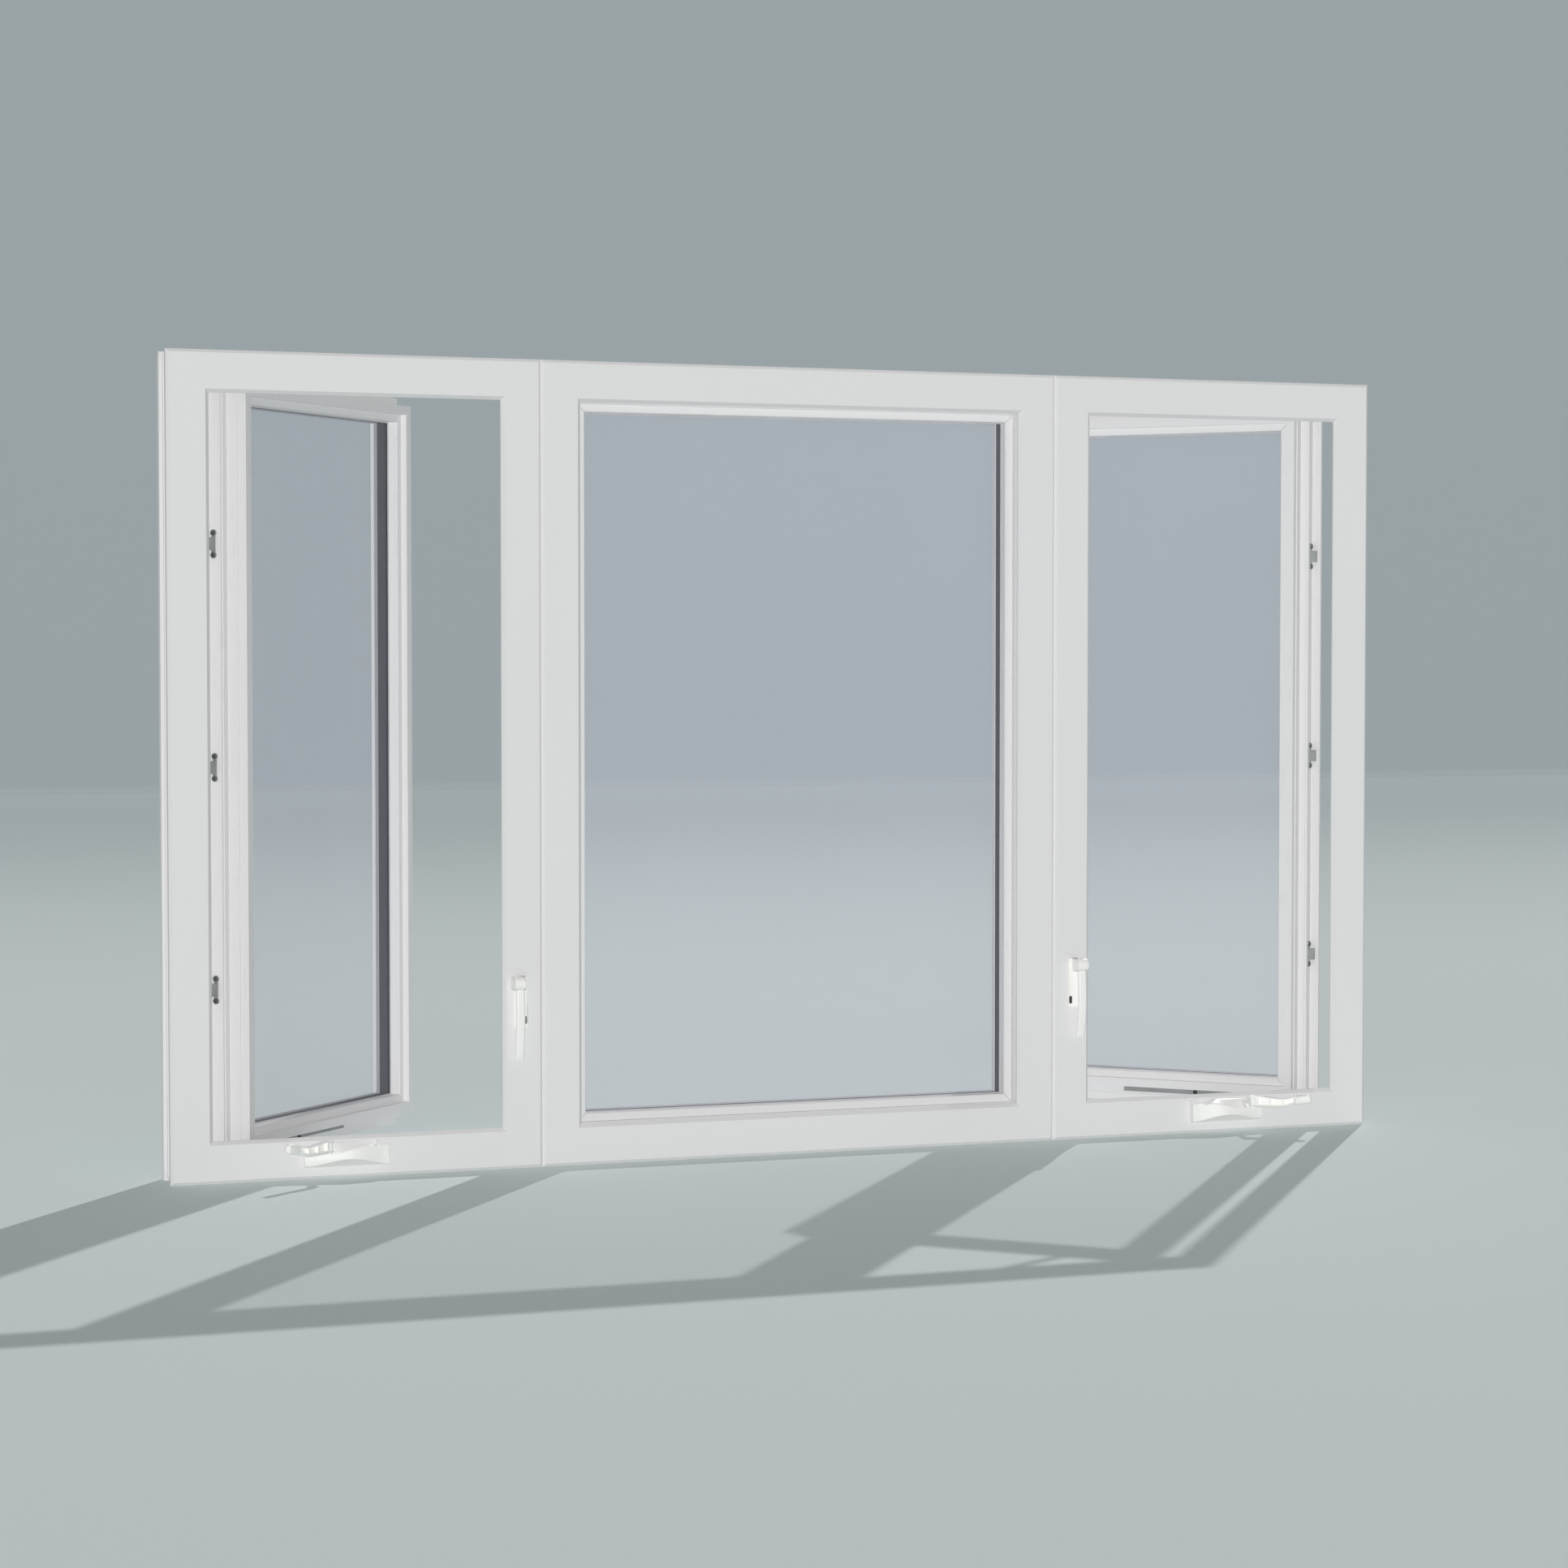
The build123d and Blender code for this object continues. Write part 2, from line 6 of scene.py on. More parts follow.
import bpy
from bpy.props import FloatProperty, FloatVectorProperty, IntProperty, PointerProperty
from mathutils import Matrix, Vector


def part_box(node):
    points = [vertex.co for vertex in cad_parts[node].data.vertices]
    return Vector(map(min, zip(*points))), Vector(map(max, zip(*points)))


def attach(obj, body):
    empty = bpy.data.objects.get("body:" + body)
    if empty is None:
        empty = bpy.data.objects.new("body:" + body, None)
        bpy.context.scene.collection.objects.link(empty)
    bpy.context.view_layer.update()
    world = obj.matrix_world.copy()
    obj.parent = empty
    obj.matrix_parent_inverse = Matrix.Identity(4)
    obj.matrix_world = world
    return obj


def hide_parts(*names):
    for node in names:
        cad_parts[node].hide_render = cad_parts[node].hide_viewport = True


bl_info = {
    "name": "Triple Casement Window",
    "version": (1, 0, 0),
    "blender": (4, 5, 0),
    "location": "View3D > Sidebar > Window",
    "description": "Dresses a packed triple casement window with its finishes, fittings and studio",
    "category": "Object",
}

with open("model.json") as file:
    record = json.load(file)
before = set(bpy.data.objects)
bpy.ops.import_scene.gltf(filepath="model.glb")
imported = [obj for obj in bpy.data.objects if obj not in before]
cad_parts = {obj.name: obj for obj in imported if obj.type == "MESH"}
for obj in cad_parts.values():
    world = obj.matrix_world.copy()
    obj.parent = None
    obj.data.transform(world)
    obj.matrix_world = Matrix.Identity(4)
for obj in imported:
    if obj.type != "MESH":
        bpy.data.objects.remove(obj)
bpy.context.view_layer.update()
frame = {"nodes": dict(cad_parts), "record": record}
UNITS = ("left", "centre", "right")
SIDES = ("left", "right")
JAMBS = {
    "left": ("outer_jamb", "inner_jamb"),
    "centre": ("left_jamb", "right_jamb"),
    "right": ("inner_jamb", "outer_jamb"),
}
SLOT_OF = {part["node"]: part["material_slot"] for part in frame["record"]["subparts"]}
PIVOT_OF = {joint["name"]: Vector(joint["pos_m"]) for joint in frame["record"]["behaviour"]["joints"]}
OPEN_ANGLE = math.radians(45)
HANDLE_ANGLE = math.radians(36.5)
MIRROR = {"left": 1, "right": -1}
TURN = {"left": OPEN_ANGLE, "centre": 0.0, "right": -OPEN_ANGLE}
MM = 0.001
SMOOTH_BELOW = math.radians(30)     # Edges flatter than this are shaded smooth
ROUND_ABOVE = math.radians(35)      # Edges sharper than this are rounded
GRAIN_ACROSS, GRAIN_ALONG = 520, 7  # Grains of the vinyl in a metre, across and along a profile
UP = Vector((0, 0, 1))


# Settings


class WindowFinishes(bpy.types.PropertyGroup):
    """Colours and textures of the window's surfaces."""

    vinyl: FloatVectorProperty(
        name="Vinyl", description="White of the frames and sashes", subtype="COLOR",
        size=3, min=0, max=1, default=(0.82, 0.808, 0.81))
    enamel: FloatVectorProperty(
        name="Enamel", description="Off-white of the cranks and locks", subtype="COLOR",
        size=3, min=0, max=1, default=(0.975, 0.968, 0.938))
    steel: FloatVectorProperty(
        name="Steel", description="Zinc plate of hinges and snubbers", subtype="COLOR",
        size=3, min=0, max=1, default=(0.36, 0.37, 0.37))
    tint: FloatVectorProperty(
        name="Glass tint", description="Colour that the panes lay over what is behind them",
        subtype="COLOR", size=3, min=0, max=1, default=(0.80, 0.83, 0.98))
    spacer: FloatVectorProperty(
        name="Spacer", description="Dark spacer between the panes", subtype="COLOR",
        size=3, min=0, max=1, default=(0.010, 0.011, 0.010))
    seal: FloatVectorProperty(
        name="Seal", description="Grey of the bulb seals", subtype="COLOR",
        size=3, min=0, max=1, default=(0.16, 0.16, 0.165))
    grain_depth: FloatProperty(
        name="Grain depth", description="Height of the embossed grain on the vinyl", subtype="DISTANCE",
        unit="LENGTH", min=0, default=0.05 * MM)


class WindowFittings(bpy.types.PropertyGroup):
    """Sizes of the small fittings, and of the hardware that is shaped anew."""

    screw_radius: FloatProperty(
        name="Screw radius", description="Radius of the snubber and track screws' heads", subtype="DISTANCE",
        unit="LENGTH", min=0, default=3.4 * MM)
    rivet_radius: FloatProperty(
        name="Rivet radius", description="Radius of the hinge rivets' heads", subtype="DISTANCE",
        unit="LENGTH", min=0, default=5.5 * MM)
    pin_head_radius: FloatProperty(
        name="Pin head radius", description="Radius of the heads on the crank and lock pins",
        subtype="DISTANCE", unit="LENGTH", min=0, default=2.7 * MM)
    head_height: FloatProperty(
        name="Head height", description="How far the heads stand proud", subtype="DISTANCE",
        unit="LENGTH", min=0, default=1.2 * MM)
    gasket_width: FloatProperty(
        name="Gasket width", description="Lip of the glazing gasket inside the bead", subtype="DISTANCE",
        unit="LENGTH", min=0, default=1.2 * MM)
    weld_width: FloatProperty(
        name="Weld width", description="Width of the cleaned weld line across a mitre", subtype="DISTANCE",
        unit="LENGTH", min=0, default=0.9 * MM)
    weld_height: FloatProperty(
        name="Weld height", description="How far a weld line stands proud", subtype="DISTANCE",
        unit="LENGTH", min=0, default=0.2 * MM)
    bay_depth: FloatProperty(
        name="Bay depth", description="Depth of the bays between the ribs of the crank handles",
        subtype="DISTANCE", unit="LENGTH", min=0, default=6.0 * MM)
    knob_size: FloatVectorProperty(
        name="Knob", description="Length, thickness and height of the crank knobs", subtype="XYZ",
        unit="LENGTH", size=3, min=0, default=(26 * MM, 11 * MM, 14 * MM))
    knob_lift: FloatProperty(
        name="Knob lift", description="How far the crank handles rise towards their knobs",
        subtype="DISTANCE", unit="LENGTH", min=0, default=7.5 * MM)
    knob_tilt: FloatProperty(
        name="Knob tilt", description="Slope of the crank knobs", subtype="ANGLE", default=math.radians(10))
    cover_grain: FloatProperty(
        name="Cover grain", description="Size of the faces of the operator covers", subtype="DISTANCE",
        unit="LENGTH", min=0.5 * MM, default=1.0 * MM)
    cover_passes: IntProperty(
        name="Cover passes", description="How often the edges of the operator covers are smoothed",
        min=0, default=8)
    lock_rounding: FloatProperty(
        name="Lock rounding", description="Radius of the edges of the locks", subtype="DISTANCE",
        unit="LENGTH", min=0, default=1.2 * MM)
    handle_rounding: FloatProperty(
        name="Handle rounding", description="Radius of the edges of the crank handles", subtype="DISTANCE",
        unit="LENGTH", min=0, default=0.5 * MM)


class WindowStage(bpy.types.PropertyGroup):
    """Camera, lights and backdrop."""

    camera_place: FloatVectorProperty(
        name="Camera", description="Place of the lens", subtype="TRANSLATION", unit="LENGTH",
        size=3, default=(-1.6875, -4.6136, 0.7025))
    yaw: FloatProperty(
        name="Yaw", description="Turn of the camera towards the right", subtype="ANGLE",
        default=math.radians(19.99))
    pitch: FloatProperty(
        name="Pitch", description="Tilt of the camera below the horizon", subtype="ANGLE",
        default=math.radians(2.095))
    lens: FloatProperty(
        name="Lens", description="Focal length on a 36 mm sensor, in millimetres", min=1, default=78.81)
    floor: FloatVectorProperty(
        name="Floor", description="Pale grey-green of the floor near the window", subtype="COLOR",
        size=3, min=0, max=1, default=(0.735, 0.805, 0.80))
    # Painted falloff of light: the floor is painted to this darker grey far from the window, standing in for
    # less light there
    far_floor_painted_dim: FloatVectorProperty(
        name="Far floor", description="Grey that the floor fades to with distance", subtype="COLOR",
        size=3, min=0, max=1, default=(0.495, 0.55, 0.56))
    wall: FloatVectorProperty(
        name="Backdrop", description="Grey of the backdrop", subtype="COLOR",
        size=3, min=0, max=1, default=(0.398, 0.445, 0.458))
    backdrop_distance: FloatProperty(
        name="Backdrop distance", description="Distance of the backdrop behind the window",
        subtype="DISTANCE", unit="LENGTH", default=13.0)
    ambient: FloatProperty(
        name="Ambient", description="Strength of the even light from all round", min=0, default=0.18)
    fill: FloatProperty(
        name="Fill", description="Strength of the broad light from beside the camera", min=0, default=1.88)
    key: FloatProperty(
        name="Key", description="Strength of the light from behind at the right", min=0, default=1.25)
    fill_from: FloatVectorProperty(
        name="Fill from", description="Direction that the broad light comes from", subtype="DIRECTION",
        size=3, default=(-0.367, -0.907, 0.208))
    fill_width: FloatProperty(
        name="Fill width", description="Breadth of the broad light", subtype="ANGLE",
        default=math.radians(70))
    key_from: FloatVectorProperty(
        name="Key from", description="Direction that the clear light comes from", subtype="DIRECTION",
        size=3, default=(0.458, 0.601, 0.656))
    key_width: FloatProperty(
        name="Key width", description="Breadth of the clear light", subtype="ANGLE",
        default=math.radians(0.7))


# Shader expressions


class Value:
    """A shader socket on which Python's operators build Math nodes."""

    def __init__(self, shading, socket):
        self.shading = shading
        self.socket = socket

    def math(self, operation, *others):
        return self.shading.node("ShaderNodeMath", {"operation": operation}, [self, *others])

    def __add__(self, other):
        return self.math("ADD", other)

    __radd__ = __add__

    def __sub__(self, other):
        return self.math("SUBTRACT", other)

    def __rsub__(self, other):
        return self.shading.node("ShaderNodeMath", {"operation": "SUBTRACT"}, [other, self])

    def __mul__(self, other):
        return self.math("MULTIPLY", other)

    __rmul__ = __mul__

    def __gt__(self, other):
        return self.math("GREATER_THAN", other)

    def __abs__(self):
        return self.math("ABSOLUTE")


class Shading:
    """The nodes of a material or world, and the method that adds one."""

    def __init__(self, owner, shader):
        owner.use_nodes = True
        self.tree = owner.node_tree
        self.shader = self.tree.nodes[shader]

    def node(self, kind, settings=None, inputs=(), output=0):
        """Adds a node, applies its settings, then sets or links its sockets by place or by name."""
        added = self.tree.nodes.new(kind)
        for key, setting in (settings or {}).items():
            setattr(added, key, setting)
        pairs = inputs.items() if isinstance(inputs, dict) else enumerate(inputs)
        for key, value in pairs:
            if isinstance(value, Value):
                self.tree.links.new(value.socket, added.inputs[key])
            else:
                added.inputs[key].default_value = value
        return Value(self, added.outputs[output])

    def mix(self, factor, first, second):
        """A blend of two colours, whose sockets follow those for numbers and vectors."""
        factor_at, first_at, second_at, colour_at = 0, 6, 7, 2
        inputs = {factor_at: factor, first_at: first, second_at: second}
        return self.node("ShaderNodeMix", {"data_type": "RGBA"}, inputs, colour_at)

    def feed(self, socket, value):
        """Sets or links one of the shader's sockets."""
        if isinstance(value, Value):
            self.tree.links.new(value.socket, self.shader.inputs[socket])
        else:
            self.shader.inputs[socket].default_value = value


class Finish(Shading):
    """A node material with one Principled shader."""

    def __init__(self, name):
        self.material = bpy.data.materials.new(name)
        super().__init__(self.material, "Principled BSDF")

    def place(self, scale=(1, 1, 1)):
        """Object coordinates, stretched by a scale for each axis."""
        coords = self.node("ShaderNodeTexCoord", output="Object")
        return self.node("ShaderNodeMapping", inputs={"Vector": coords, "Scale": scale})

    def noise(self, scale, detail=2.0, stretch=(1, 1, 1), rough=0.5):
        """Noise with a mean of about a half."""
        return self.node("ShaderNodeTexNoise", inputs={
            "Vector": self.place(stretch), "Scale": scale, "Detail": detail, "Roughness": rough})

    def bump(self, height, distance):
        """Links a height to the shader's normal."""
        inputs = {"Height": height, "Distance": distance, "Strength": 1.0}
        self.feed("Normal", self.node("ShaderNodeBump", inputs=inputs, output="Normal"))


def shade(colour, factor):
    """A colour made lighter or darker, with full alpha."""
    return tuple(min(channel * factor, 1) for channel in colour[:3]) + (1,)


# Finishes


def vinyl_finish(name, settings, grain_across):
    """Satin white vinyl with faint extrusion lines and an embossed grain.

    grain_across builds the height of the grain from a finish.
    """
    finish = Finish(name)
    grain = grain_across(finish)
    cloud = finish.noise(scale=3.0, detail=3.0)
    speck = finish.noise(scale=900.0, detail=1.0)
    tone = finish.mix(cloud, shade(settings.vinyl, 0.985), shade(settings.vinyl, 1.01))
    finish.feed("Base Color", finish.mix(grain * 0.22, tone, shade(settings.vinyl, 0.90)))
    finish.feed("Roughness", 0.34 + 0.10 * cloud + 0.06 * grain)
    finish.feed("Specular IOR Level", 0.4)
    finish.bump(grain + speck * 0.15, settings.grain_depth)
    return finish.material


def upright_grain(finish):
    """Grain that runs up and down."""
    return finish.noise(scale=1.0, detail=3.0, stretch=(GRAIN_ACROSS, GRAIN_ACROSS, GRAIN_ALONG), rough=0.6)


def level_grain(finish):
    """Grain that runs along the sill."""
    return finish.noise(scale=1.0, detail=3.0, stretch=(GRAIN_ALONG, GRAIN_ALONG, GRAIN_ACROSS), rough=0.6)


def sash_grain(low, high, turn):
    """Grain that follows stiles and rails, which meet on the mitres of a sash turned about the vertical."""
    middle = (Vector(low) + Vector(high)) / 2
    along = Vector((math.cos(turn), math.sin(turn), 0))
    half_width = (high[0] - low[0]) / 2
    half_height = (high[2] - low[2]) / 2

    def grain(finish):
        coords = finish.node("ShaderNodeTexCoord", output="Object")
        offset = finish.node("ShaderNodeVectorMath", {"operation": "SUBTRACT"}, [coords, tuple(middle)])
        across = finish.node(
            "ShaderNodeVectorMath", {"operation": "DOT_PRODUCT"}, [offset, tuple(along)], "Value")
        upward = finish.node("ShaderNodeSeparateXYZ", inputs=[offset], output="Z")
        rail = (abs(upward) - half_height) > (abs(across) - half_width)
        streaks = finish.noise(scale=1.0, detail=2.0, stretch=(380, 380, 34), rough=0.6)
        dashes = finish.node("ShaderNodeMapRange", {"interpolation_type": "SMOOTHSTEP"}, {
            "Value": streaks, "From Min": 0.56, "From Max": 0.72, "To Max": 2.2})
        return (upright_grain(finish) + dashes) * (1 - rail) + level_grain(finish) * rail

    return grain


def enamel_finish(name, settings):
    """Off-white baked enamel with a fine orange-peel surface."""
    finish = Finish(name)
    cloud = finish.noise(scale=18.0)
    peel = finish.noise(scale=420.0, detail=1.0)
    finish.feed("Base Color", finish.mix(cloud, shade(settings.enamel, 0.97), shade(settings.enamel, 1.02)))
    finish.feed("Roughness", 0.24 + 0.10 * cloud)
    finish.feed("Coat Weight", 0.15 + 0.1 * cloud)
    finish.bump(peel, 0.03 * MM)
    return finish.material


def steel_finish(name, settings, tone=1.0):
    """Dull zinc plate with rolled lines and cloudy patches."""
    finish = Finish(name)
    cloud = finish.noise(scale=60.0, detail=4.0)
    lines = finish.noise(scale=1.0, stretch=(1800, 1800, 60))
    dull, bright = shade(settings.steel, 0.75 * tone), shade(settings.steel, 1.25 * tone)
    finish.feed("Base Color", finish.mix(cloud, dull, bright))
    finish.feed("Metallic", 0.85)
    finish.feed("Roughness", 0.32 + 0.22 * cloud + 0.08 * lines)
    finish.bump(lines, 0.02 * MM)
    return finish.material


def glass_finish(name, settings):
    """Clear float glass: see-through, a little bluer at a slant, with the faintest haze."""
    finish = Finish(name)
    haze = finish.noise(scale=2.5, detail=3.0)
    facing = finish.node("ShaderNodeLayerWeight", inputs={"Blend": 0.35}, output="Facing")
    finish.feed("Base Color", shade(settings.tint, 1.0))
    finish.feed("Alpha", 0.046 + 0.012 * haze + 0.06 * facing)
    finish.feed("Roughness", 0.02)
    finish.feed("Specular IOR Level", 0.6)
    finish.material.surface_render_method = "BLENDED"
    return finish.material


def spacer_finish(name, settings):
    """Matte dark spacer with rows of fine breather holes."""
    finish = Finish(name)
    cloud = finish.noise(scale=40.0)
    holes = finish.node(
        "ShaderNodeTexVoronoi", {"feature": "F1"}, {"Vector": finish.place(), "Scale": 220.0})
    finish.feed("Base Color", finish.mix(cloud, shade(settings.spacer, 0.8), shade(settings.spacer, 1.5)))
    finish.feed("Roughness", 0.55 + 0.15 * cloud)
    finish.bump(holes, 0.1 * MM)
    return finish.material


def seal_finish(name, settings, tone=1.0):
    """Soft grey rubber with a dusty bloom."""
    finish = Finish(name)
    bloom = finish.noise(scale=30.0, detail=4.0)
    skin = finish.noise(scale=700.0)
    dark, dusty = shade(settings.seal, 0.8 * tone), shade(settings.seal, 1.3 * tone)
    finish.feed("Base Color", finish.mix(bloom, dark, dusty))
    finish.feed("Roughness", 0.62 + 0.2 * bloom)
    finish.bump(skin, 0.05 * MM)
    return finish.material


def dress(node, material):
    """Gives a CAD node its finish."""
    for slot in frame["nodes"][node].material_slots:
        slot.material = material


# Modelling


def start_selection(mode):
    """Clears a mesh's selection, and leaves object mode on for code to select its faces or edges."""
    bpy.ops.object.mode_set(mode="EDIT")
    bpy.ops.mesh.select_mode(type=mode)
    bpy.ops.mesh.select_all(action="DESELECT")
    bpy.ops.object.mode_set(mode="OBJECT")


def select_faces(piece, wanted):
    """Enters edit mode with only the faces selected whose middles are wanted."""
    start_selection("FACE")
    for face in piece.data.polygons:
        face.select = wanted(face.center)
    bpy.ops.object.mode_set(mode="EDIT")


def select_edges(piece, wanted):
    """Enters edit mode with only the edges selected whose middles are wanted."""
    start_selection("EDGE")
    vertices = piece.data.vertices
    for edge in piece.data.edges:
        first, second = (vertices[index].co for index in edge.vertices)
        edge.select = wanted((first + second) / 2)
    bpy.ops.object.mode_set(mode="EDIT")


def select_only(*pieces):
    """Selects these pieces alone and makes the first one active."""
    bpy.ops.object.select_all(action="DESELECT")
    for piece in pieces:
        piece.select_set(True)
    bpy.context.view_layer.objects.active = pieces[0]


def settle(piece, place, turn):
    """Turns and moves a piece and writes its place into its mesh."""
    select_only(piece)
    piece.rotation_euler = turn
    piece.location = place
    bpy.ops.object.transform_apply(location=True, rotation=True, scale=True)
    return piece


def spread(piece, places):
    """A piece and copies of it, each with its own mesh, one at each place and turn."""
    pieces = [piece]
    for _ in places[1:]:
        select_only(piece)
        bpy.ops.object.duplicate()
        pieces.append(bpy.context.object)
    return [settle(each, place, turn) for each, (place, turn) in zip(pieces, places)]


def fuse(pieces, name):
    """Joins pieces into one object with its normals outward and smooth round faces."""
    select_only(*pieces)
    if len(pieces) > 1:
        bpy.ops.object.join()
    bpy.ops.object.mode_set(mode="EDIT")
    bpy.ops.mesh.select_all(action="SELECT")
    bpy.ops.mesh.normals_make_consistent(inside=False)
    bpy.ops.object.mode_set(mode="OBJECT")
    bpy.ops.object.shade_smooth_by_angle(angle=SMOOTH_BELOW)
    pieces[0].name = name
    return pieces[0]


def box(size):
    """A box of a size on the origin."""
    bpy.ops.object.select_all(action="DESELECT")
    bpy.ops.mesh.primitive_cube_add(size=1)
    piece = bpy.context.object
    piece.scale = size
    bpy.ops.object.transform_apply(scale=True)
    return piece


def plane(width, depth):
    """A flat sheet of a size on the origin."""
    bpy.ops.object.select_all(action="DESELECT")
    bpy.ops.mesh.primitive_plane_add(size=1)
    piece = bpy.context.object
    piece.scale = (width, depth, 1)
    bpy.ops.object.transform_apply(scale=True)
    return piece


def block(size, edge):
    """A box on the origin whose edges towards the room are softened."""
    piece = box(size)
    select_edges(piece, lambda middle: middle.y < -size[1] / 4)
    bpy.ops.mesh.bevel(offset=edge, segments=2)
    bpy.ops.object.mode_set(mode="OBJECT")
    return piece


def pad(size, edge):
    """A cushion-like knob on the origin, a box with its edges rounded over."""
    piece = box(size)
    bpy.ops.object.mode_set(mode="EDIT")
    bpy.ops.mesh.select_all(action="SELECT")
    bpy.ops.mesh.bevel(offset=edge, segments=6)
    bpy.ops.object.mode_set(mode="OBJECT")
    return piece


def border(width, height, reach):
    """A flat ring on the origin that stands up a little from the plane, with its outline outermost."""
    piece = plane(width, height)
    bpy.ops.object.mode_set(mode="EDIT")
    bpy.ops.mesh.select_all(action="SELECT")
    bpy.ops.mesh.inset(thickness=reach)
    bpy.ops.mesh.delete(type="FACE")
    bpy.ops.mesh.select_all(action="SELECT")
    bpy.ops.mesh.extrude_region_move(TRANSFORM_OT_translate={"value": reach * UP})
    bpy.ops.object.mode_set(mode="OBJECT")
    return piece


def button(radius, height, socket=0.0):
    """A round head on the origin that faces up, with a rounded rim and, if asked, a recess for a driver."""
    rim, recess = height * 0.6, height * 0.7
    bpy.ops.object.select_all(action="DESELECT")
    bpy.ops.mesh.primitive_cylinder_add(vertices=24, radius=radius, depth=height, location=(0, 0, height / 2))
    piece = bpy.context.object
    bpy.ops.object.transform_apply(location=True)

    def is_top(middle):
        return middle.z > height * 0.99

    select_edges(piece, is_top)
    bpy.ops.mesh.bevel(offset=rim, segments=3)
    bpy.ops.object.mode_set(mode="OBJECT")
    if socket:
        select_faces(piece, is_top)
        bpy.ops.mesh.inset(thickness=radius - rim - socket)
        bpy.ops.mesh.extrude_region_move(TRANSFORM_OT_translate={"value": -recess * UP})
        bpy.ops.object.mode_set(mode="OBJECT")
    return piece


def buttons(name, spots, radius, height, socket=0.0):
    """One object of heads, each on a spot and facing a direction."""
    places = [(spot, Vector(facing).to_track_quat("Z", "Y").to_euler()) for spot, facing in spots]
    return fuse(spread(button(radius, height, socket), places), name)


def copy_of(node):
    """A piece with a copy of a CAD node's mesh, merged and with its flat faces made whole."""
    merge_within, flat_below = 0.005 * MM, math.radians(1)
    piece = bpy.data.objects.new(node, frame["nodes"][node].data.copy())
    bpy.context.collection.objects.link(piece)
    piece.data.materials.clear()
    select_only(piece)
    bpy.ops.mesh.customdata_custom_splitnormals_clear()
    bpy.ops.object.mode_set(mode="EDIT")
    bpy.ops.mesh.select_all(action="SELECT")
    bpy.ops.mesh.remove_doubles(threshold=merge_within)
    bpy.ops.mesh.dissolve_limited(angle_limit=flat_below)
    bpy.ops.object.mode_set(mode="OBJECT")
    return piece


def soften(piece, width, clamp=True):
    """Rounds the sharp edges of a piece, and holds back where edges are close if it clamps."""
    bpy.ops.object.shade_smooth_by_angle(angle=SMOOTH_BELOW)
    rounding = piece.modifiers.new("rounding", "BEVEL")
    rounding.width = width
    rounding.segments = 4
    rounding.limit_method = "ANGLE"
    rounding.angle_limit = ROUND_ABOVE
    rounding.use_clamp_overlap = clamp
    rounding.harden_normals = True
    bpy.ops.object.modifier_apply(modifier=rounding.name)


def melt(piece, grain, passes):
    """Gives a piece an even skin and lets its edges flow round, as a casting's do."""
    skin = piece.modifiers.new("skin", "REMESH")
    skin.mode = "VOXEL"
    skin.voxel_size = grain
    bpy.ops.object.modifier_apply(modifier=skin.name)
    flow = piece.modifiers.new("flow", "SMOOTH")
    flow.factor = 0.5
    flow.iterations = passes
    bpy.ops.object.modifier_apply(modifier=flow.name)
    bpy.ops.object.shade_smooth()


def hand_over(piece, material, body="window"):
    """Gives a new piece its finish and the body that carries it."""
    piece.data.materials.append(material)
    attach(piece, body)


# Places on the window


def middle_of(node):
    """The middle of a CAD node's box."""
    low, high = (Vector(corner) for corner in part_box(node))
    return (low + high) / 2


def sash_lines(side):
    """Level directions of an open sash: along it from its hinges, and out of its face towards the room."""
    along = Vector((MIRROR[side] * math.cos(OPEN_ANGLE), math.sin(OPEN_ANGLE), 0))
    to_room = Vector((MIRROR[side] * math.sin(OPEN_ANGLE), -math.cos(OPEN_ANGLE), 0))
    return along, to_room


def handle_lines(side):
    """Level directions of an unfolded crank handle: along it from its pin, and out of its hollow side."""
    along = Vector((-MIRROR[side] * math.cos(HANDLE_ANGLE), -math.sin(HANDLE_ANGLE), 0))
    hollow = Vector((MIRROR[side] * math.sin(HANDLE_ANGLE), -math.cos(HANDLE_ANGLE), 0))
    return along, hollow


def snubber_spots(side):
    """Two screws on each of the three snubbers in a hinge stile."""
    lug, plate, apart, spacing = 4.5 * MM, 1.5 * MM, 15 * MM, 300 * MM
    along = sash_lines(side)[0]
    low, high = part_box(f"{side}_snubbers")
    corner_x = high[0] if side == "left" else low[0]
    seat_x = corner_x - MIRROR[side] * lug * math.cos(OPEN_ANGLE)
    seat_y = high[1] - lug * math.sin(OPEN_ANGLE)
    middle = (low[2] + high[2]) / 2
    heights = [middle + step * spacing + end * apart for step in (-1, 0, 1) for end in (-1, 1)]
    return [(Vector((seat_x, seat_y, height)) - along * plate, -along) for height in heights]


def track_spots(side):
    """Two screws in the floor of each hinge track, at the sill and at the head."""
    floor = 1.2 * MM
    low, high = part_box(f"{side}_hinge_tracks")
    near, far = (low[0], high[0]) if side == "left" else (high[0], low[0])
    spots = []
    for share in (0.45, 0.7):
        x = near + (far - near) * share
        y = (low[1] + high[1]) / 2
        spots += [((x, y, low[2] + floor), UP), ((x, y, high[2] - floor), -UP)]
    return spots


def hinge_spots(side):
    """A rivet over the anchor of each support arm, at the sill and at the head."""
    end, arm_face = 14 * MM, 11.7 * MM
    low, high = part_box(f"{side}_hinge_tracks")
    anchor_x = high[0] - end if side == "left" else low[0] + end
    y = (low[1] + high[1]) / 2
    return [((anchor_x, y, low[2] + arm_face), UP), ((anchor_x, y, high[2] - arm_face), -UP)]


# Crank handles


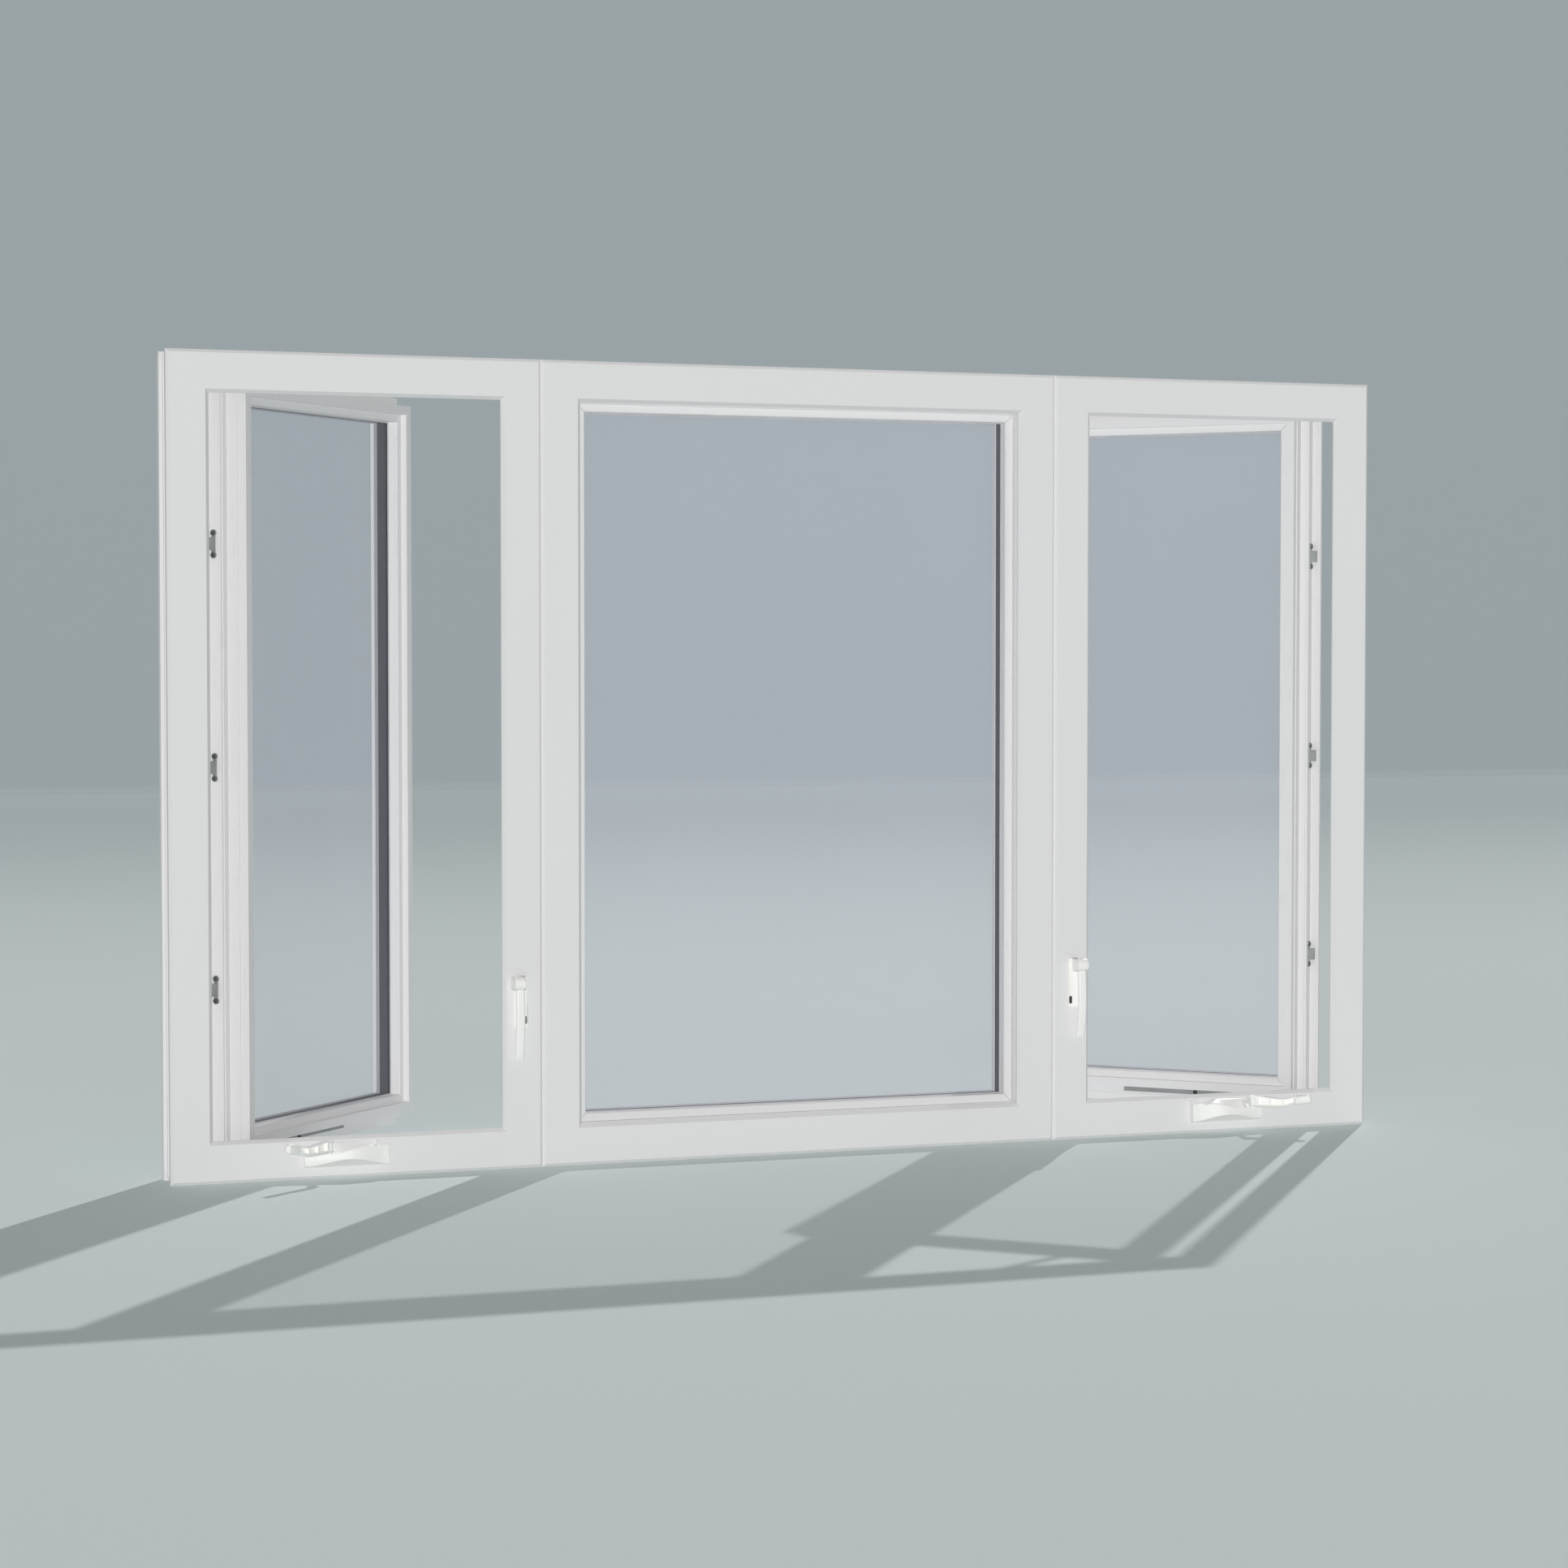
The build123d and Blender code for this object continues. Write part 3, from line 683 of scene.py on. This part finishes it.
def handle_tray(side, sizes):
    """The ribbed tray of a crank handle, cut off before its knob and bent up towards it."""
    bays_from, floor_at, sole_top, half_thickness, near = 8 * MM, 2 * MM, -5 * MM, 4 * MM, 0.2 * MM
    bends = [37 * MM, 45 * MM, 51 * MM, 56 * MM, 60.5 * MM]
    tray_end = 64.5 * MM
    pin = PIVOT_OF[f"{side}_handle_fold"]
    along, hollow = handle_lines(side)
    tray = copy_of(f"{side}_crank_handle")

    def is_bay_floor(middle):
        spot = middle - pin
        at_floor = abs(spot.dot(hollow) - floor_at) < near
        return at_floor and spot.dot(along) > bays_from and spot.z > sole_top

    select_faces(tray, is_bay_floor)
    bpy.ops.transform.translate(value=hollow * (half_thickness - floor_at - sizes.bay_depth))
    bpy.ops.mesh.select_all(action="SELECT")
    end = pin + along * tray_end
    bpy.ops.mesh.bisect(plane_co=end, plane_no=along, use_fill=True, clear_outer=True)
    for bend in bends:
        bpy.ops.mesh.select_all(action="SELECT")
        bpy.ops.mesh.bisect(plane_co=pin + along * bend, plane_no=along)
    bpy.ops.object.mode_set(mode="OBJECT")
    for vertex in tray.data.vertices:
        beyond = max((vertex.co - pin).dot(along) - bends[0], 0)
        vertex.co.z += sizes.knob_lift * (beyond / (tray_end - bends[0])) ** 2
    soften(tray, sizes.handle_rounding)
    return tray


def handle_knob(side, sizes):
    """The knob at the end of a crank handle."""
    reach, drop, round_share = 74 * MM, 2.5 * MM, 0.45
    along = handle_lines(side)[0]
    place = PIVOT_OF[f"{side}_handle_fold"] + along * reach + UP * (sizes.knob_lift - drop)
    turn = (0, -sizes.knob_tilt, math.atan2(along.y, along.x))
    thickness = sizes.knob_size[1]
    return settle(pad(sizes.knob_size, thickness * round_share), place, turn)


# Studio


def floor_finish(stage, bend):
    """Pale floor with a painted falloff of light: painted lighter near the window and darker with distance,
    fading into the backdrop's grey.
    """
    fade_from, fade_short = 1.5, 2
    finish = Finish("pale_floor_painted_falloff")
    away = finish.node("ShaderNodeSeparateXYZ", inputs=[finish.place()], output="Y")
    height = finish.node("ShaderNodeSeparateXYZ", inputs=[finish.place()], output="Z")
    # Painted falloff of light: the floor's colour darkens with distance from the window, standing in for less
    # light reaching it
    painted_falloff = finish.node("ShaderNodeMapRange", {"interpolation_type": "SMOOTHSTEP"}, {
        "Value": away, "From Min": fade_from, "From Max": stage.backdrop_distance - fade_short})
    climb = finish.node("ShaderNodeMapRange", inputs={"Value": height, "From Max": bend})
    cloud = finish.noise(scale=0.35)
    near = finish.mix(cloud, shade(stage.floor, 0.98), shade(stage.floor, 1.02))
    level = finish.mix(painted_falloff, near, shade(stage.far_floor_painted_dim, 1.0))
    finish.feed("Base Color", finish.mix(climb, level, shade(stage.wall, 1.0)))
    finish.feed("Roughness", 0.9)
    finish.feed("Specular IOR Level", 0.1)
    return finish.material


def backdrop(stage):
    """A floor that bends up into a backdrop far behind the window."""
    width, front, rise, bend = 60.0, -30.0, 12.0, 0.05
    back = stage.backdrop_distance
    sheet = settle(plane(width, back - front), (0, (back + front) / 2, 0), (0, 0, 0))
    select_edges(sheet, lambda middle: middle.y > back - bend)
    bpy.ops.mesh.extrude_region_move(TRANSFORM_OT_translate={"value": rise * UP})
    bpy.ops.object.mode_set(mode="OBJECT")
    select_edges(sheet, lambda middle: middle.y > back - bend and middle.z < bend)
    bpy.ops.mesh.bevel(offset=bend, segments=12)
    bpy.ops.object.mode_set(mode="OBJECT")
    bpy.ops.object.shade_smooth()
    sheet.name = "studio_floor"
    sheet.data.materials.append(floor_finish(stage, bend))
    sheet.visible_shadow = False


def sun(name, direction, width, strength, shadow):
    """A distant soft light that shines from a direction."""
    bpy.ops.object.light_add(type="SUN")
    light = bpy.context.object
    light.name = name
    light.rotation_euler = Vector(direction).to_track_quat("Z", "Y").to_euler()
    light.data.angle = width
    light.data.energy = strength
    light.data.use_shadow = shadow


def lamps(stage):
    """Even light all round, a broad light from beside the camera, and a clearer one from behind.

    What looks straight at the air, in a mirror or through glass sees the backdrop's grey.
    """
    seen_tone = 0.81
    world = bpy.data.worlds.new("studio_air")
    bpy.context.scene.world = world
    air = Shading(world, "Background")
    camera_ray, glossy_ray, glass_ray = (
        air.node("ShaderNodeLightPath", output=ray)
        for ray in ("Is Camera Ray", "Is Glossy Ray", "Is Transmission Ray"))
    seen = camera_ray + glossy_ray + glass_ray
    air.feed("Color", air.mix(seen, shade((1, 1, 1), stage.ambient), shade(stage.wall, seen_tone)))
    sun("broad_front", stage.fill_from, stage.fill_width, stage.fill, shadow=False)
    sun("clear_back", stage.key_from, stage.key_width, stage.key, shadow=True)


def camera(stage):
    """The photograph's viewpoint."""
    sensor, farthest = 36, 200
    bpy.ops.object.camera_add(location=stage.camera_place)
    eye = bpy.context.object
    eye.name = "view"
    eye.rotation_euler = (math.pi / 2 - stage.pitch, 0, -stage.yaw)
    eye.data.sensor_width = sensor
    eye.data.lens = stage.lens
    eye.data.clip_end = farthest
    bpy.context.scene.camera = eye


# Operators


class DressVinyl(bpy.types.Operator):
    """Finish the frames, sashes and beads in white vinyl"""

    bl_idname = "window.dress_vinyl"
    bl_label = "Vinyl"

    def execute(self, context):
        settings = context.scene.window_finishes
        upright = vinyl_finish("vinyl_upright", settings, upright_grain)
        level = vinyl_finish("vinyl_level", settings, level_grain)
        for unit in UNITS:
            for jamb in JAMBS[unit]:
                dress(f"{unit}_frame_{jamb}", upright)
            for rail in ("head", "sill"):
                dress(f"{unit}_frame_{rail}", level)
        for unit, turn in TURN.items():
            for piece in ("sash", "glazing_beads"):
                grain = sash_grain(*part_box(f"{unit}_{piece}"), turn)
                dress(f"{unit}_{piece}", vinyl_finish(f"vinyl_{unit}_{piece}", settings, grain))
        return {"FINISHED"}


class DressGlass(bpy.types.Operator):
    """Finish the panes, spacers and seals"""

    bl_idname = "window.dress_glass"
    bl_label = "Glass and seals"

    def execute(self, context):
        settings = context.scene.window_finishes
        finishes = {
            "glass": glass_finish("clear_glass", settings),
            "spacer": spacer_finish("dark_spacer", settings),
            "frame_seal": seal_finish("grey_seal", settings),
        }
        for unit in UNITS:
            for piece, material in finishes.items():
                dress(f"{unit}_{piece}", material)
        return {"FINISHED"}


class DressHardware(bpy.types.Operator):
    """Finish the cranks, locks, hinges, operators and snubbers"""

    bl_idname = "window.dress_hardware"
    bl_label = "Hardware"

    def execute(self, context):
        settings = context.scene.window_finishes
        finishes = {
            "off_white_hardware": enamel_finish("off_white_enamel", settings),
            "plated_steel": steel_finish("zinc_plate", settings),
        }
        for node, slot in SLOT_OF.items():
            if slot in finishes:
                dress(node, finishes[slot])
        return {"FINISHED"}


class RoundHardware(bpy.types.Operator):
    """Round the edges of the operator covers and of the locks"""

    bl_idname = "window.round_hardware"
    bl_label = "Covers and locks"

    def execute(self, context):
        sizes = context.scene.window_fittings
        enamel = enamel_finish("enamel_casting", context.scene.window_finishes)
        for side in SIDES:
            bodies = {"crank_cover": "window", "lock_base": "window", "lock_lever": f"{side}_lock"}
            for part, body in bodies.items():
                node = f"{side}_{part}"
                piece = copy_of(node)
                if part == "crank_cover":
                    melt(piece, sizes.cover_grain, sizes.cover_passes)
                else:
                    soften(piece, sizes.lock_rounding, clamp=False)
                piece.name = f"{node}_rounded"
                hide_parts(node)
                hand_over(piece, enamel, body)
        return {"FINISHED"}


class ShapeHandles(bpy.types.Operator):
    """Shape the crank handles: deep bays between the ribs, and an end that rises to a rounded knob"""

    bl_idname = "window.shape_handles"
    bl_label = "Crank handles"

    def execute(self, context):
        sizes = context.scene.window_fittings
        enamel = enamel_finish("enamel_handle", context.scene.window_finishes)
        for side in SIDES:
            pieces = [handle_tray(side, sizes), handle_knob(side, sizes)]
            handle = fuse(pieces, f"{side}_crank_handle_shaped")
            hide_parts(f"{side}_crank_handle")
            hand_over(handle, enamel, f"{side}_handle")
        return {"FINISHED"}


class AddScrews(bpy.types.Operator):
    """Drive the screws of the snubbers and hinge tracks"""

    bl_idname = "window.add_screws"
    bl_label = "Screws"

    def execute(self, context):
        sizes = context.scene.window_fittings
        dark = steel_finish("dark_screw", context.scene.window_finishes, tone=0.35)
        socket = sizes.screw_radius / 3
        for side in SIDES:
            for group, spots in (("snubber", snubber_spots(side)), ("track", track_spots(side))):
                name = f"{side}_{group}_screws"
                screws = buttons(name, spots, sizes.screw_radius, sizes.head_height, socket)
                hand_over(screws, dark)
        return {"FINISHED"}


class AddRivets(bpy.types.Operator):
    """Head the rivets of the hinges and the pins of the cranks and locks"""

    bl_idname = "window.add_rivets"
    bl_label = "Rivets and pin heads"

    def execute(self, context):
        sizes = context.scene.window_fittings
        zinc = steel_finish("zinc_rivet", context.scene.window_finishes)
        enamel = enamel_finish("enamel_pin_head", context.scene.window_finishes)
        pin_half, cheek_half = 9.5 * MM, 9.4 * MM
        for side in SIDES:
            rivets = buttons(
                f"{side}_hinge_rivets", hinge_spots(side), sizes.rivet_radius, sizes.head_height)
            hand_over(rivets, zinc)
            fold, swing = PIVOT_OF[f"{side}_handle_fold"], PIVOT_OF[f"{side}_lock_swing"]
            pins = (
                (f"{side}_crank_pin_heads", f"{side}_handle", fold, UP, pin_half),
                (f"{side}_lock_pin_heads", "window", swing, Vector((1, 0, 0)), cheek_half),
            )
            for name, body, pivot, axis, reach in pins:
                ends = [(pivot + axis * reach, axis), (pivot - axis * reach, -axis)]
                heads = buttons(name, ends, sizes.pin_head_radius, sizes.head_height / 2)
                hand_over(heads, enamel, body)
        return {"FINISHED"}


class AddStuds(bpy.types.Operator):
    """Cap the operator's stud where it shows through the sash's guide"""

    bl_idname = "window.add_studs"
    bl_label = "Operator studs"

    def execute(self, context):
        sizes = context.scene.window_fittings
        dark = steel_finish("dark_stud", context.scene.window_finishes, tone=0.2)
        guide_half = 3 * MM
        for side in SIDES:
            to_room = sash_lines(side)[1]
            spot = middle_of(f"{side}_sash_guide") + to_room * guide_half
            stud = buttons(
                f"{side}_operator_stud", [(spot, to_room)], sizes.screw_radius, sizes.head_height)
            hand_over(stud, dark)
        return {"FINISHED"}


class AddTongues(bpy.types.Operator):
    """Show the dark tongue behind the slot of each lock plate"""

    bl_idname = "window.add_tongues"
    bl_label = "Lock tongues"

    def execute(self, context):
        dark = steel_finish("dark_tongue", context.scene.window_finishes, tone=0.12)
        slot_from_edge, slot_from_foot = 4 * MM, 11 * MM
        size, edge = (3.4 * MM, 2.4 * MM, 10 * MM), 0.5 * MM
        for side in SIDES:
            low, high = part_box(f"{side}_lock_base")
            x = high[0] - slot_from_edge if side == "left" else low[0] + slot_from_edge
            place = (x, high[1] - size[1] / 2, low[2] + slot_from_foot)
            tongue = settle(block(size, edge), place, (0, 0, 0))
            hand_over(fuse([tongue], f"{side}_lock_tongue"), dark)
        return {"FINISHED"}


class AddGaskets(bpy.types.Operator):
    """Run a gasket round both faces of each glass unit"""

    bl_idname = "window.add_gaskets"
    bl_label = "Glazing gaskets"

    def execute(self, context):
        sizes = context.scene.window_fittings
        pale = seal_finish("pale_gasket", context.scene.window_finishes, tone=3.0)
        unit_thickness, hidden_edge = 22 * MM, 9 * MM
        for unit, turn in TURN.items():
            low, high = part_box(f"{unit}_glass")
            across = (high[0] - low[0] - unit_thickness * abs(math.sin(turn))) / math.cos(turn)
            width, height = across - 2 * hidden_edge, high[2] - low[2] - 2 * hidden_edge
            to_room = Vector((math.sin(turn), -math.cos(turn), 0))
            places = []
            for direction in (to_room, -to_room):
                spot = middle_of(f"{unit}_glass") + direction * unit_thickness / 2
                places.append((spot, (math.pi / 2, 0, math.atan2(direction.x, -direction.y))))
            rings = spread(border(width, height, sizes.gasket_width), places)
            hand_over(fuse(rings, f"{unit}_glazing_gaskets"), pale)
        return {"FINISHED"}


class AddWelds(bpy.types.Operator):
    """Draw the cleaned weld line across each mitre of the frames"""

    bl_idname = "window.add_welds"
    bl_label = "Corner welds"

    def execute(self, context):
        sizes = context.scene.window_fittings
        line = vinyl_finish("vinyl_weld", context.scene.window_finishes, level_grain)
        edge, reach = 5 * MM, 51 * MM
        middle = (edge + reach) / 2
        size = ((reach - edge) * math.sqrt(2), 2 * sizes.weld_height, sizes.weld_width)
        for unit in UNITS:
            low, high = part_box(f"{unit}_frame_head")
            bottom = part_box(f"{unit}_frame_sill")[0][2]
            places = []
            for x, inward in ((low[0], 1), (high[0], -1)):
                for z, upward in ((bottom, 1), (high[2], -1)):
                    spot = (x + inward * middle, low[1], z + upward * middle)
                    places.append((spot, (0, -inward * upward * math.pi / 4, 0)))
            bars = spread(block(size, sizes.weld_height / 2), places)
            hand_over(fuse(bars, f"{unit}_corner_welds"), line)
        return {"FINISHED"}


class BuildStage(bpy.types.Operator):
    """Build the floor and backdrop, the lights and the camera"""

    bl_idname = "window.build_stage"
    bl_label = "Stage"

    def execute(self, context):
        stage = context.scene.window_stage
        backdrop(stage)
        lamps(stage)
        camera(stage)
        context.scene.view_settings.view_transform = "Standard"
        return {"FINISHED"}


# Panel and registration


class WindowPanel(bpy.types.Panel):
    """Lists the steps that dress the window"""

    bl_idname = "VIEW3D_PT_triple_window"
    bl_label = "Triple Casement Window"
    bl_space_type = "VIEW_3D"
    bl_region_type = "UI"
    bl_category = "Window"

    def draw(self, context):
        for operator in OPERATORS:
            self.layout.operator(operator.bl_idname)
        scene = context.scene
        for group in (scene.window_finishes, scene.window_fittings, scene.window_stage):
            for name in group.__annotations__:
                self.layout.prop(group, name)


OPERATORS = (
    DressVinyl, DressGlass, DressHardware, RoundHardware, ShapeHandles, AddScrews, AddRivets, AddStuds,
    AddTongues, AddGaskets, AddWelds, BuildStage)
CLASSES = (WindowFinishes, WindowFittings, WindowStage, *OPERATORS, WindowPanel)


def register():
    for cls in CLASSES:
        bpy.utils.register_class(cls)
    bpy.types.Scene.window_finishes = PointerProperty(type=WindowFinishes)
    bpy.types.Scene.window_fittings = PointerProperty(type=WindowFittings)
    bpy.types.Scene.window_stage = PointerProperty(type=WindowStage)


def unregister():
    del bpy.types.Scene.window_stage
    del bpy.types.Scene.window_fittings
    del bpy.types.Scene.window_finishes
    for cls in reversed(CLASSES):
        bpy.utils.unregister_class(cls)


def main():
    register()
    bpy.ops.window.dress_vinyl()
    bpy.ops.window.dress_glass()
    bpy.ops.window.dress_hardware()
    bpy.ops.window.round_hardware()
    bpy.ops.window.shape_handles()
    bpy.ops.window.add_screws()
    bpy.ops.window.add_rivets()
    bpy.ops.window.add_studs()
    bpy.ops.window.add_tongues()
    bpy.ops.window.add_gaskets()
    bpy.ops.window.add_welds()
    bpy.ops.window.build_stage()


if __name__ == "__main__":
    main()
